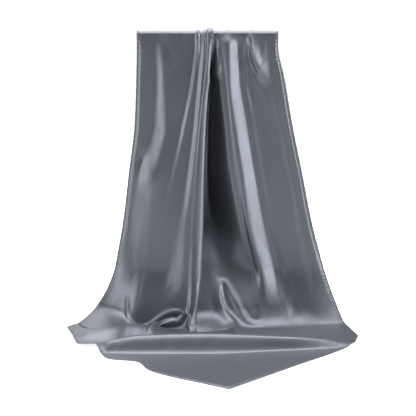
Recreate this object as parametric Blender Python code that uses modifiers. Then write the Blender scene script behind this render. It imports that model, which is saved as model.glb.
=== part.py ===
"""A satin hijab shawl hung over a rod, its front end spread on the surface below.

Metres, +Z up, +X to the viewer's right and -Y towards the viewer. The origin is the
middle of the rod's axis. The tables are in centimetres, as a maker would measure.
"""
import math
from collections import namedtuple

import bpy
import numpy as np
from mathutils import Vector

CM = 0.01
MM = 0.001

# Driving sizes
ROD_RADIUS = 9 * MM
ROD_LENGTH = 0.386
ROD_SIDES = 32
AXIS_HEIGHT = 0.81
CLOTH_THICKNESS = 1.2 * MM
HEM_WIDTH = 4 * MM
HEM_THICKNESS = 2 * MM
SEAM_GAP = 0.4 * MM
ROD_GAP = 0.4 * MM
FLOOR_Z = -AXIS_HEIGHT

# The front stretch: where each fold line runs, left to right. x is the place across and
# out the distance in front of the rod's axis, both at the heights in LEVELS; lift is how
# far the gathered cloth stands off the rod, and run the place along the hem from corner
# to corner where the fold line ends.
LEVELS = (79.0, 63.0, 49.0, 21.0)
Fold = namedtuple(
    "Fold",
    "name x_top x_high x_mid x_low x_foot out_top out_high out_mid out_low out_foot lift run",
)
FOLDS = (
    Fold("left edge", -19.5, -20.2, -21.3, -25.0, -33.8, 1.1, 1.4, 1.6, 2.2, 1.5, 0.0, 0.0),
    Fold("left band", -18.7, -19.1, -19.7, -23.8, -32.0, 1.2, 2.4, 3.1, 4.0, 4.5, 0.0, 8.0),
    Fold("left dip", -16.6, -17.0, -17.5, -22.0, -29.0, 1.1, 1.4, 2.0, 4.2, 7.5, 0.0, 17.0),
    Fold("soft band", -14.0, -13.7, -14.6, -19.6, -24.2, 1.3, 3.2, 4.4, 6.0, 11.0, 0.05, 28.0),
    Fold("wide dip", -9.6, -9.8, -11.7, -16.8, -20.0, 1.1, 1.8, 2.8, 5.6, 12.4, 0.0, 36.5),
    Fold("thin ridge a", -4.4, -5.3, -8.1, -14.0, -15.6, 1.5, 3.3, 4.5, 6.8, 11.4, 0.25, 45.7),
    Fold("dip a", -3.3, -4.1, -6.3, -11.2, -11.8, 1.1, 2.2, 3.3, 6.4, 9.8, 0.0, 51.0),
    Fold("thin ridge b", -2.3, -2.8, -4.6, -8.4, -9.2, 1.7, 3.4, 4.6, 6.8, 9.0, 0.35, 55.0),
    Fold("dip b", -1.2, -1.8, -3.1, -5.5, -7.2, 1.3, 2.8, 3.9, 5.8, 8.6, 0.1, 59.5),
    Fold("main crest", 0.3, -0.7, -1.5, -2.8, -5.4, 2.3, 4.8, 6.2, 7.8, 9.4, 0.85, 63.5),
    Fold("crest wall", 1.1, 0.1, -0.7, -1.6, -3.6, 1.4, 1.8, 2.2, 3.4, 9.2, 0.4, 66.5),
    Fold("recess", 1.8, 1.0, 0.6, 1.4, 0.4, 1.0, -0.2, -0.4, -1.6, 8.4, 0.05, 70.0),
    Fold("recess rise", 2.5, 2.5, 3.1, 5.8, 6.6, 1.1, 0.8, 0.6, 0.2, 7.6, 0.05, 75.0),
    Fold("small ridge", 3.2, 3.9, 5.3, 10.6, 11.8, 1.3, 2.2, 2.7, 3.2, 8.2, 0.1, 80.0),
    Fold("small dip", 4.4, 4.9, 6.6, 12.2, 14.0, 1.1, 2.0, 2.5, 3.2, 8.6, 0.0, 84.0),
    Fold("flank crest", 6.0, 6.4, 8.5, 13.8, 17.0, 1.5, 3.6, 4.8, 6.0, 6.0, 0.1, 88.0),
    Fold("flank foot", 9.2, 9.8, 12.0, 17.4, 20.5, 1.1, 1.6, 2.3, 3.6, 3.8, 0.0, 93.0),
    Fold("side pleat", 11.8, 12.3, 14.6, 21.0, 24.0, 1.7, 2.2, 2.8, 4.2, 3.6, 0.3, 98.0),
    Fold("panel", 13.4, 15.1, 18.2, 23.8, 27.2, 1.1, 2.0, 2.9, 4.2, 4.8, 0.0, 103.0),
    Fold("faint ridge", 15.2, 17.5, 21.1, 26.1, 30.0, 1.2, 2.8, 3.9, 5.0, 6.4, 0.05, 108.0),
    Fold("faint dip", 17.2, 19.8, 22.8, 28.4, 33.0, 1.1, 1.8, 2.6, 3.8, 5.8, 0.0, 113.0),
    Fold("right band", 18.7, 21.9, 24.4, 30.4, 36.2, 1.2, 2.2, 3.0, 3.8, 4.2, 0.0, 119.0),
    Fold("right edge", 19.3, 22.6, 25.0, 31.2, 38.4, 1.1, 1.2, 1.4, 2.0, 2.6, 0.0, 124.9),
)

# The foot of the front stretch, where it turns out onto the surface
BEND_HEIGHT = 5.0
BEND_DEPTH = 4.0
FOOT_SPREAD_POWER = 1.5

# The hem that lies on the surface, from the left corner round to the right bend. out is
# the distance in front of the rod's axis.
HemPoint = namedtuple("HemPoint", "name x out")
LEFT_CORNER = HemPoint("left corner", -39.1, 13.4)
FRONT_CORNER = HemPoint("front corner", 5.1, 61.4)
END_HEM = (
    LEFT_CORNER,
    HemPoint("left side", -36.7, 21.6),
    HemPoint("fold mouth back", -33.8, 29.4),
    HemPoint("fold mouth front", -29.8, 31.3),
    HemPoint("first wave out", -25.5, 39.3),
    HemPoint("first wave in", -18.0, 41.6),
    HemPoint("second wave out", -14.6, 48.0),
    HemPoint("long side", -7.4, 53.8),
    HemPoint("last wave", -2.0, 57.0),
    FRONT_CORNER,
)
LONG_HEM = (
    FRONT_CORNER,
    HemPoint("half way", 22.2, 44.2),
    HemPoint("fold end", 35.4, 31.0),
    HemPoint("right bend", 38.6, 26.8),
    HemPoint("right end", 41.1, 20.0),
)

# The low fold that runs across the cloth on the surface: where its front foot lies, how
# high it is, and how deep in front and behind its ridge
Roll = namedtuple("Roll", "name x out_front height depth_front depth_back")
ROLL = (
    Roll("beyond the left hem", -37.0, 31.5, 0.8, 1.6, 3.5),
    Roll("left mouth", -31.5, 33.0, 1.3, 1.8, 4.5),
    Roll("left slope", -26.0, 35.2, 2.5, 2.8, 6.0),
    Roll("left shoulder", -18.0, 35.9, 3.9, 4.0, 8.0),
    Roll("middle", 0.0, 36.2, 4.4, 4.4, 9.0),
    Roll("right shoulder", 16.5, 33.8, 3.4, 3.7, 7.5),
    Roll("right slope", 25.0, 32.4, 2.7, 3.1, 6.0),
    Roll("right toe", 31.0, 31.4, 1.9, 2.3, 5.0),
    Roll("right end", 35.5, 30.4, 0.9, 1.5, 4.0),
    Roll("beyond the right hem", 42.0, 29.0, 0.0, 1.0, 3.0),
)

# Short folds round the foot. walk is measured down the cloth: minus the height while it
# hangs, and the distance from the foot once it lies on the surface.
Spur = namedtuple("Spur", "name width x_start walk_start height_start x_end walk_end height_end")
SPURS = (
    Spur("left pouch", 4.0, -11.5, -13.0, 2.2, -15.5, -8.0, 1.8),
    Spur("pouch crease, left side", 1.6, -22.0, -6.0, -0.6, -18.5, 0.5, -1.0),
    Spur("pouch crease, right side", 1.6, -18.5, 0.5, -1.0, -8.4, -6.0, -1.6),
    Spur("left spur", 1.8, -8.6, -3.0, 2.4, -16.0, 5.5, 0.6),
    Spur("hollow beside the spur", 1.8, -8.0, 0.5, -1.0, -11.0, 3.5, -0.6),
    Spur("finger, left side", 1.5, 3.2, -13.0, 0.8, 5.4, 4.0, 2.2),
    Spur("finger, middle", 1.3, 4.8, -8.0, -0.8, 8.0, 3.0, -0.8),
    Spur("finger, right side", 1.5, 4.9, -13.0, 0.8, 10.4, -0.5, 1.8),
    Spur("hollow under the flank", 2.2, 9.5, -12.0, -0.8, 12.5, -4.0, -1.2),
    Spur("crescent", 3.0, 16.0, 0.5, 0.7, 34.0, 1.0, 0.5),
)

# The stretch behind the rod, left to right as seen from the front. out_low is the distance
# behind the rod's axis once its folds have opened, and length the drop to the hem.
BACK_OPENS = 30.0
BackFold = namedtuple("BackFold", "name x_top x_low out_low length")
BACK_FOLDS = (
    BackFold("left edge", -19.6, -21.4, 1.4, 73.0),
    BackFold("ridge 1", -17.2, -18.8, 4.0, 70.0),
    BackFold("dip 1", -14.0, -15.6, 1.6, 66.0),
    BackFold("ridge 2", -10.6, -12.0, 4.6, 61.5),
    BackFold("dip 2", -7.4, -8.4, 1.5, 57.5),
    BackFold("ridge 3", -4.6, -4.8, 5.0, 53.0),
    BackFold("dip 3", -1.4, -1.2, 1.7, 48.0),
    BackFold("ridge 4", 2.0, 2.6, 4.4, 43.0),
    BackFold("dip 4", 5.2, 6.2, 1.6, 38.0),
    BackFold("ridge 5", 8.8, 10.0, 3.6, 32.5),
    BackFold("dip 5", 12.2, 13.6, 1.5, 27.5),
    BackFold("ridge 6", 15.6, 17.0, 2.8, 22.5),
    BackFold("right edge", 19.4, 20.8, 1.4, 18.0),
)

# How finely each stretch is made
WIDE_INTERVAL = 3.0
WIDE_FOOT = 4.5
WRAP_ANGLES = (165, 143, 121, 99, 77, 55, 33, 11)
DROP_HEIGHTS = (
    79.6, 77.6, 75.0, 72.0, 69.0, 66.0, 63.0, 59.5, 56.0, 52.5, 49.0, 45.5, 42.0,
    38.5, 35.0, 31.5, 28.0, 24.5, 21.0, 18.0, 15.0, 12.0, 9.5, 7.0, 5.0,
)
BEND_STEPS = 4
SPREAD_ROWS = (6, 5, 5, 8)
ROLL_SHARES = (-1.0, 0.0, 1.0)
ROLL_LATEST = (0.55, 0.75, 0.88)
SEAM_STEP = 2
BACK_STEPS = 14
BACK_COLUMNS = 3
COLLECTION = "hijab_shawl_on_rod"

# Colours
SATIN_GREY = (0.115, 0.125, 0.148)
HEM_GREY = (0.075, 0.082, 0.098)
ROD_GREY = (0.55, 0.56, 0.58)


def slopes(xs, ys):
    """Slopes of a smooth curve through the points that never swings past them."""
    steps = np.diff(xs)
    secants = np.diff(ys) / steps
    result = np.zeros(len(xs))
    result[0], result[-1] = secants[0], secants[-1]
    for k in range(1, len(xs) - 1):
        before, after = secants[k - 1], secants[k]
        if before * after > 0:
            weight_before = 2 * steps[k] + steps[k - 1]
            weight_after = steps[k] + 2 * steps[k - 1]
            total = weight_before + weight_after
            result[k] = total / (weight_before / before + weight_after / after)
    return result


def through(xs, ys, x):
    """Read that smooth curve at x."""
    xs, ys = np.asarray(xs, float), np.asarray(ys, float)
    x = min(max(x, xs[0]), xs[-1])
    k = min(int(np.searchsorted(xs, x, side="right")) - 1, len(xs) - 2)
    bends = slopes(xs, ys)
    step = xs[k + 1] - xs[k]
    t = (x - xs[k]) / step
    return (
        (1 + 2 * t) * (1 - t) ** 2 * ys[k]
        + t * (1 - t) ** 2 * step * bends[k]
        + t * t * (3 - 2 * t) * ys[k + 1]
        + t * t * (t - 1) * step * bends[k + 1]
    )


def column(rows, field, place):
    """A column of a table, read smoothly between its rows."""
    return through(range(len(rows)), [getattr(row, field) for row in rows], place)


def soft_step(t):
    t = min(max(t, 0.0), 1.0)
    return t * t * (3 - 2 * t)


def hem_place(run):
    """The point of the hem on the surface that lies run centimetres from the left corner."""
    for points in (END_HEM, LONG_HEM):
        gaps = [
            math.hypot(b.x - a.x, b.out - a.out) for a, b in zip(points, points[1:])
        ]
        marks = np.concatenate(([0.0], np.cumsum(gaps)))
        if run <= marks[-1] or points is LONG_HEM:
            break
        run -= marks[-1]
    return (
        through(marks, [p.x for p in points], run),
        through(marks, [p.out for p in points], run),
    )


def end_hem_length():
    return sum(math.hypot(b.x - a.x, b.out - a.out) for a, b in zip(END_HEM, END_HEM[1:]))


def roll_height(x, out):
    """Height of the low fold across the cloth at a point of the surface."""
    places = [row.x for row in ROLL]
    front = through(places, [row.out_front for row in ROLL], x)
    height = through(places, [row.height for row in ROLL], x)
    depth_front = through(places, [row.depth_front for row in ROLL], x)
    depth_back = through(places, [row.depth_back for row in ROLL], x)
    ridge = front - depth_front
    if out > ridge:
        return height * soft_step((front - out) / depth_front)
    return height * soft_step(1 - (ridge - out) / depth_back)


def spur_height(x, walk):
    """How far the short folds round the foot raise the cloth."""
    total = 0.0
    for spur in SPURS:
        along_x = spur.x_end - spur.x_start
        along_walk = spur.walk_end - spur.walk_start
        reach = along_x ** 2 + along_walk ** 2
        t = ((x - spur.x_start) * along_x + (walk - spur.walk_start) * along_walk) / reach
        t = min(max(t, 0.0), 1.0)
        gap = math.hypot(
            x - spur.x_start - t * along_x, walk - spur.walk_start - t * along_walk
        )
        height = spur.height_start + t * (spur.height_end - spur.height_start)
        total += height * math.exp(-((gap / spur.width) ** 2))
    return total


def drop_place(place, height):
    """A point of the hanging front stretch, as x and out, at a height above the surface."""
    x_top, x_high, x_mid, x_low, x_foot = (
        column(FOLDS, field, place) for field in ("x_top", "x_high", "x_mid", "x_low", "x_foot")
    )
    out_top, out_high, out_mid, out_low, out_foot, lift = (
        column(FOLDS, field, place)
        for field in ("out_top", "out_high", "out_mid", "out_low", "out_foot", "lift")
    )
    axis = AXIS_HEIGHT / CM
    on_rod = (ROD_RADIUS + ROD_GAP) / CM + lift
    down = axis - height
    levels = [axis - level for level in LEVELS]
    out = through(
        [0.0] + levels + [axis - BEND_HEIGHT],
        [on_rod, out_top, out_high, out_mid, out_low, out_foot],
        down,
    )
    if height >= LEVELS[-1]:
        return through([0.0] + levels, [x_top, x_top, x_high, x_mid, x_low], down), out
    part_down = (LEVELS[-1] - height) / LEVELS[-1]
    straight = (x_mid - x_low) / (LEVELS[2] - LEVELS[3])
    lean = x_low - straight * (LEVELS[-1] - height)
    spread = x_foot - (x_low - straight * LEVELS[-1])
    return lean + spread * part_down ** FOOT_SPREAD_POWER, out


def wrap_point(place, angle):
    """A point over the rod, from behind it (180 degrees) to in front of it (0)."""
    turn = math.radians(angle)
    share = math.sin(turn) ** 0.5 if angle > 90 else 1.0
    radius = ROD_RADIUS + ROD_GAP + column(FOLDS, "lift", place) * CM * share
    x = column(FOLDS, "x_top", place) * CM
    return Vector((x, -radius * math.cos(turn), radius * math.sin(turn)))


def drop_point(place, height):
    x, out = drop_place(place, height)
    out += spur_height(x, -height)
    return Vector((x * CM, -out * CM, height * CM + FLOOR_Z))


def bend_point(place, t):
    """A point of the bend at the foot, from upright (0) to flat (1)."""
    start_x, start_out = drop_place(place, BEND_HEIGHT)
    above_x, above_out = drop_place(place, BEND_HEIGHT + 1)
    x_foot = column(FOLDS, "x_foot", place)
    lean = min(max(start_out - above_out, 0.0), 0.5)
    outs = (start_out, start_out + lean * BEND_HEIGHT / 2, start_out + BEND_DEPTH / 2)
    heights = (BEND_HEIGHT, BEND_HEIGHT / 2, 0.0)
    xs = (start_x, start_x + (start_x - above_x) * BEND_HEIGHT / 2, x_foot)
    weights = ((1 - t) ** 3, 3 * t * (1 - t) ** 2, 3 * t * t * (1 - t), t ** 3)
    out = sum(w * o for w, o in zip(weights, outs + (start_out + BEND_DEPTH,)))
    height = sum(w * h for w, h in zip(weights, heights + (0.0,)))
    x_end = spread_ends(place)[0]
    x = sum(w * v for w, v in zip(weights, xs + (x_end,)))
    raised = spur_height(x, -height)
    out += raised * (1 - t)
    height = max(height + (raised + roll_height(x, out)) * t, 0.0)
    return Vector((x * CM, -out * CM, height * CM + FLOOR_Z))


def spread_ends(place):
    """Where a column leaves the foot and where it meets the hem: two x and two outs."""
    start_out = column(FOLDS, "out_foot", place) + BEND_DEPTH
    hem_x, hem_out = hem_place(column(FOLDS, "run", place))
    x_foot = column(FOLDS, "x_foot", place)
    settled = 0.5 * BEND_DEPTH / max(hem_out - start_out, BEND_DEPTH)
    return x_foot + (hem_x - x_foot) * settled, hem_x, start_out, hem_out


def spread_fractions(place):
    """How far along a column each row lies, so that rows follow the low fold."""
    x_start, hem_x, start_out, hem_out = spread_ends(place)
    places = [row.x for row in ROLL]
    marks = []
    for share, latest in zip(ROLL_SHARES, ROLL_LATEST):
        t = latest
        for _ in range(4):
            x = x_start + (hem_x - x_start) * t
            front = through(places, [row.out_front for row in ROLL], x)
            depth_front = through(places, [row.depth_front for row in ROLL], x)
            depth_back = through(places, [row.depth_back for row in ROLL], x)
            wanted = front - max(1 - share, 0) * depth_front - max(-share, 0) * depth_back
            t = min((wanted - start_out) / (hem_out - start_out), latest)
        marks.append(t)
    knots = [0.0] + marks + [1.0]
    rows = np.cumsum((0,) + SPREAD_ROWS)
    return [float(np.interp(row, rows, knots)) for row in range(rows[-1] + 1)]


def spread_point(place, t):
    """A point on the surface, from the foot (0) to the hem (1)."""
    x_start, hem_x, start_out, hem_out = spread_ends(place)
    x = x_start + (hem_x - x_start) * t
    reach = hem_out - start_out
    out = start_out + reach * t
    height = max(roll_height(x, out) + spur_height(x, reach * t), 0.0)
    return Vector((x * CM, -out * CM, height * CM + FLOOR_Z))


def back_point(place, t):
    """A point behind the rod, from the rod (0) to the hem (1)."""
    x_top, x_low, out_low, length = (
        column(BACK_FOLDS, field, place) for field in ("x_top", "x_low", "out_low", "length")
    )
    down = length * t
    opened = soft_step(down / min(BACK_OPENS, length))
    out_top = (ROD_RADIUS + ROD_GAP) / CM
    x = x_top + (x_low - x_top) * down / BACK_FOLDS[0].length
    out = out_top + (out_low - out_top) * opened
    return Vector((x * CM, out * CM, -down * CM))


def fold_places():
    """Column places: the fold lines, and one or two between each pair."""
    places = []
    for k, (a, b) in enumerate(zip(FOLDS, FOLDS[1:])):
        wide = b.x_mid - a.x_mid > WIDE_INTERVAL or b.x_foot - a.x_foot > WIDE_FOOT
        steps = 3 if wide else 2
        places += [k + step / steps for step in range(steps)]
    return places + [len(FOLDS) - 1]


def sheet_object(name, rows, collection, material):
    """A cloth stretch: an open grid of rows, thickened on its outer side."""
    across = len(rows[0])
    vertices = [point for row in rows for point in row]
    faces = []
    for j in range(len(rows) - 1):
        for i in range(across - 1):
            corner = j * across + i
            faces.append((corner, corner + across, corner + across + 1, corner + 1))
    mesh = bpy.data.meshes.new(name)
    mesh.from_pydata(vertices, [], faces)
    mesh.update()
    mesh.shade_smooth()
    piece = bpy.data.objects.new(name, mesh)
    collection.objects.link(piece)
    mesh.materials.append(material)
    wall = piece.modifiers.new("wall", "SOLIDIFY")
    wall.thickness = CLOTH_THICKNESS
    wall.offset = 1.0
    return piece


def edge_of(piece, row_length, side):
    """Points and normals down one side of a stretch: left, right, first or last."""
    mesh = piece.data
    count = len(mesh.vertices)
    picks = {
        "left": range(0, count, row_length),
        "right": range(row_length - 1, count, row_length),
        "first": range(0, row_length),
        "last": range(count - row_length, count),
    }[side]
    normals = mesh.vertex_normals
    return [(mesh.vertices[k].co.copy(), Vector(normals[k].vector)) for k in picks]


def outward_at(points, normals, k, side):
    """The direction out of the cloth, in its own surface, at a point of an edge."""
    before = points[max(k - 1, 0)]
    after = points[min(k + 1, len(points) - 1)]
    return ((after - before).cross(normals[k]) * side).normalized()


def corner_reach(long_edge, short_edge, at_start, side):
    """The way a long hem runs on past a corner, and how far it goes to cover the short hem."""
    points = [point for point, normal in short_edge]
    normals = [normal for point, normal in short_edge]
    outward = outward_at(points, normals, 0 if at_start else len(points) - 1, side)
    way = (long_edge[0][0] - long_edge[1][0]).normalized()
    return way, 1.0 / way.dot(outward)


def hem_object(name, edge, side, collection, material, reaches=(None, None), corners=(None, None)):
    """A rolled hem: a narrow strip outside an edge.

    reaches lengthen a long hem past the corners at its ends, and corners slant the ends
    of a short hem to lie along the long ones.
    """
    points = [point for point, normal in edge]
    normals = [normal for point, normal in edge]
    outwards = [outward_at(points, normals, k, side) for k in range(len(points))]
    for k, corner in zip((0, -1), corners):
        if corner:
            way, slant = corner
            outwards[k] = way * slant
    for k, reach in zip((0, -1), reaches):
        if reach:
            way, slant = reach
            points[k] = points[k] + way * slant * (HEM_WIDTH + SEAM_GAP)
    vertices = []
    for point, normal, outward in zip(points, normals, outwards):
        near, far = outward * SEAM_GAP, outward * (SEAM_GAP + HEM_WIDTH)
        raised = normal * HEM_THICKNESS
        vertices += [point + near, point + far, point + far + raised, point + near + raised]
    faces = []
    for k in range(len(points) - 1):
        for c in range(4):
            d = (c + 1) % 4
            faces.append((4 * k + c, 4 * k + d, 4 * k + 4 + d, 4 * k + 4 + c))
    last = 4 * (len(points) - 1)
    faces += [(3, 2, 1, 0), (last, last + 1, last + 2, last + 3)]
    if side > 0:
        faces = [tuple(reversed(face)) for face in faces]
    mesh = bpy.data.meshes.new(name)
    mesh.from_pydata(vertices, [], faces)
    mesh.update()
    mesh.materials.append(material)
    piece = bpy.data.objects.new(name, mesh)
    collection.objects.link(piece)
    return piece


def rod_object(collection, material):
    bpy.ops.mesh.primitive_cylinder_add(
        vertices=ROD_SIDES, radius=ROD_RADIUS, depth=ROD_LENGTH, rotation=(0, math.pi / 2, 0)
    )
    rod = bpy.context.active_object
    rod.name = "rod"
    rod.data.name = "rod"
    for holder in list(rod.users_collection):
        holder.objects.unlink(rod)
    collection.objects.link(rod)
    rod.data.materials.append(material)
    return rod


def surface_material(name, colour, roughness, metallic):
    material = bpy.data.materials.new(name)
    material.use_nodes = True
    shader = material.node_tree.nodes["Principled BSDF"]
    shader.inputs["Base Color"].default_value = (*colour, 1.0)
    shader.inputs["Roughness"].default_value = roughness
    shader.inputs["Metallic"].default_value = metallic
    return material


def parted(rows_above, rows_below):
    """Open a seam's gap between two stretches that share a row."""
    above, shared, below = rows_above[-2], rows_above[-1], rows_below[1]
    half = SEAM_GAP / 2
    rows_above[-1] = [p + (a - p).normalized() * half for a, p in zip(above, shared)]
    rows_below[0] = [p + (b - p).normalized() * half for b, p in zip(below, shared)]


def build():
    for thing in list(bpy.data.objects):
        bpy.data.objects.remove(thing, do_unlink=True)
    collection = bpy.data.collections.new(COLLECTION)
    bpy.context.scene.collection.children.link(collection)
    satin = surface_material("satin", SATIN_GREY, roughness=0.35, metallic=0.3)
    hem_satin = surface_material("hem satin", HEM_GREY, roughness=0.45, metallic=0.2)
    paint = surface_material("rod paint", ROD_GREY, roughness=0.4, metallic=0.0)

    places = fold_places()
    across = len(places)
    steps = [step / BEND_STEPS for step in range(1, BEND_STEPS + 1)]
    drop_rows = [[wrap_point(place, angle) for place in places] for angle in WRAP_ANGLES]
    drop_rows += [[drop_point(place, height) for place in places] for height in DROP_HEIGHTS]
    drop_rows += [[bend_point(place, t) for place in places] for t in steps]
    fractions = [spread_fractions(place) for place in places]
    spread_rows = []
    for step in range(1, sum(SPREAD_ROWS) + 1):
        row = [spread_point(place, marks[step]) for place, marks in zip(places, fractions)]
        spread_rows.append(row)
    drop_rows += spread_rows[:SEAM_STEP]
    spread_rows = spread_rows[SEAM_STEP - 1 :]
    back_count = BACK_COLUMNS * (len(BACK_FOLDS) - 1)
    back_places = [k / BACK_COLUMNS for k in range(back_count + 1)]
    back_rows = []
    for step in range(BACK_STEPS, -1, -1):
        back_rows.append([back_point(place, step / BACK_STEPS) for place in back_places])
    parted(drop_rows, spread_rows)

    front_drop = sheet_object("front_drop", drop_rows, collection, satin)
    floor_spread = sheet_object("floor_spread", spread_rows, collection, satin)
    back_drop = sheet_object("back_drop", back_rows, collection, satin)

    end_mark = min(
        range(across),
        key=lambda k: abs(column(FOLDS, "run", places[k]) - end_hem_length()),
    )
    back_across = len(back_places)
    left_edge = edge_of(back_drop, back_across, "left")
    left_edge += edge_of(front_drop, across, "left") + edge_of(floor_spread, across, "left")
    right_edge = edge_of(back_drop, back_across, "right")
    right_edge += edge_of(front_drop, across, "right")
    right_edge += edge_of(floor_spread, across, "right")
    surface_edge = edge_of(floor_spread, across, "last")
    front_run = surface_edge[: end_mark + 1]
    right_run = surface_edge[end_mark:] + right_edge[::-1][1:]
    back_run = edge_of(back_drop, back_across, "first")
    left_at_back = corner_reach(left_edge, back_run, True, -1)
    left_at_front = corner_reach(left_edge[::-1], front_run, True, 1)
    right_at_front = corner_reach(right_run, front_run, False, 1)
    right_at_back = corner_reach(right_run[::-1], back_run, False, -1)
    long_ends = (left_at_back, left_at_front)
    hem_object("hem_left", left_edge, 1, collection, hem_satin, reaches=long_ends)
    long_ends = (right_at_front, right_at_back)
    hem_object("hem_right", right_run, 1, collection, hem_satin, reaches=long_ends)
    short_ends = (left_at_front, right_at_front)
    hem_object("hem_front", front_run, 1, collection, hem_satin, corners=short_ends)
    short_ends = (left_at_back, right_at_back)
    hem_object("hem_back", back_run, -1, collection, hem_satin, corners=short_ends)
    rod_object(collection, paint)


build()
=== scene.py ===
"""The satin hijab shawl hung over a rod, dressed for its picture.

Metres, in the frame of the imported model. The tables are in centimetres, as a maker would
measure: x across, out in front of the rod's axis, and height above the surface.
"""
import math
from collections import namedtuple

import bpy
import numpy as np
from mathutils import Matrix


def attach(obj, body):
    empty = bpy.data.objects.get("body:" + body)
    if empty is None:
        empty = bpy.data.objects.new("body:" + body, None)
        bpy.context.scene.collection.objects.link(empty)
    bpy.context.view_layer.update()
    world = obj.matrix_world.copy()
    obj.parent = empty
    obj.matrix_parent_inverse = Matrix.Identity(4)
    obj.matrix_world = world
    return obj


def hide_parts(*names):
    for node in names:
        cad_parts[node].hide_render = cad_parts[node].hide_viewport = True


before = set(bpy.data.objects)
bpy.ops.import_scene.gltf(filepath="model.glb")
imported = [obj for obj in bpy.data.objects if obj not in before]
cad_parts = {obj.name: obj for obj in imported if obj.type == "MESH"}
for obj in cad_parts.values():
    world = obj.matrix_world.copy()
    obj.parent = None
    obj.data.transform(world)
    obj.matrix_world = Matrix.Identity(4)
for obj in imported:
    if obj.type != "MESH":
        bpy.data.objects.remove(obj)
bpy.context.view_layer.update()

CM = 0.01

# The camera stands where the photograph's did, tilted down by CAMERA_TILT degrees
CAMERA_PLACE = (0.0, -3.31, 0.195)
CAMERA_TILT = 11.73
PHOTO_SIDE = 416
FOCAL_PIXELS = 1180
SENSOR_WIDTH = 36.0

# The studio, in metres and watts. The floor's glow rises from FLOOR_GLOW to FLOOR_GLOW_FAR
# between FLOOR_NEAR and FLOOR_FAR from the rod's middle.
FLOOR_HALF = 60.0
FLOOR_GREY = (0.6, 0.6, 0.6, 1.0)
FLOOR_ROUGHNESS = 0.9
FLOOR_BELOW_CLOTH = 0.0002
FLOOR_GLOW = 0.78
FLOOR_GLOW_FAR = 1.0
FLOOR_NEAR = 1.0
FLOOR_FAR = 2.4
BACKDROP_HEIGHT = 25.0
WHITE = (1.0, 1.0, 1.0, 1.0)
BLACK = (0.0, 0.0, 0.0, 1.0)
WORLD_LIGHT = 0.06
Lamp = namedtuple("Lamp", "name place aim size power")
LAMPS = (
    Lamp("right softbox", (2.6, -1.2, 0.25), (0.0, -0.05, -0.4), (1.1, 3.1), 146),
    Lamp("left softbox", (-2.6, -1.2, 0.25), (0.0, -0.05, -0.4), (1.1, 3.1), 86),
    Lamp("top softbox", (0.0, 0.4, 2.0), (0.0, 0.4, -0.8), (3.4, 3.0), 280),
    Lamp("back left softbox", (-1.3, 3.0, 1.0), (-0.35, -0.2, -0.8), (1.8, 1.8), 26),
)

# Sizes shared with the solids
ROD_RADIUS = 0.9
ROD_GAP = 0.04
AXIS_HEIGHT = 81.0
FLOOR_Z = -AXIS_HEIGHT * CM
BEND_HEIGHT = 5.0
FOOT_SPREAD_POWER = 1.5
HEM_WIDTH = 0.4

# Thinner than in the solids, and nearer to real satin
CLOTH_WALL = 0.07
HEM_HEIGHT = 0.19

# The bend at the foot is a curve with four control points. The first is where the hanging
# cloth ends, BEND_HEIGHT up. The second goes on down at the cloth's own lean, up to
# STEEPEST_LEAN, to UPRIGHT of that height. The third lies BEND_SHARE of the way out, and the
# fourth on the surface, turned towards the hem over SETTLED_SHARE of the bend's depth.
UPRIGHT = 0.4
BEND_SHARE = 0.6
STEEPEST_LEAN = 0.5
SETTLED_SHARE = 0.5

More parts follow.
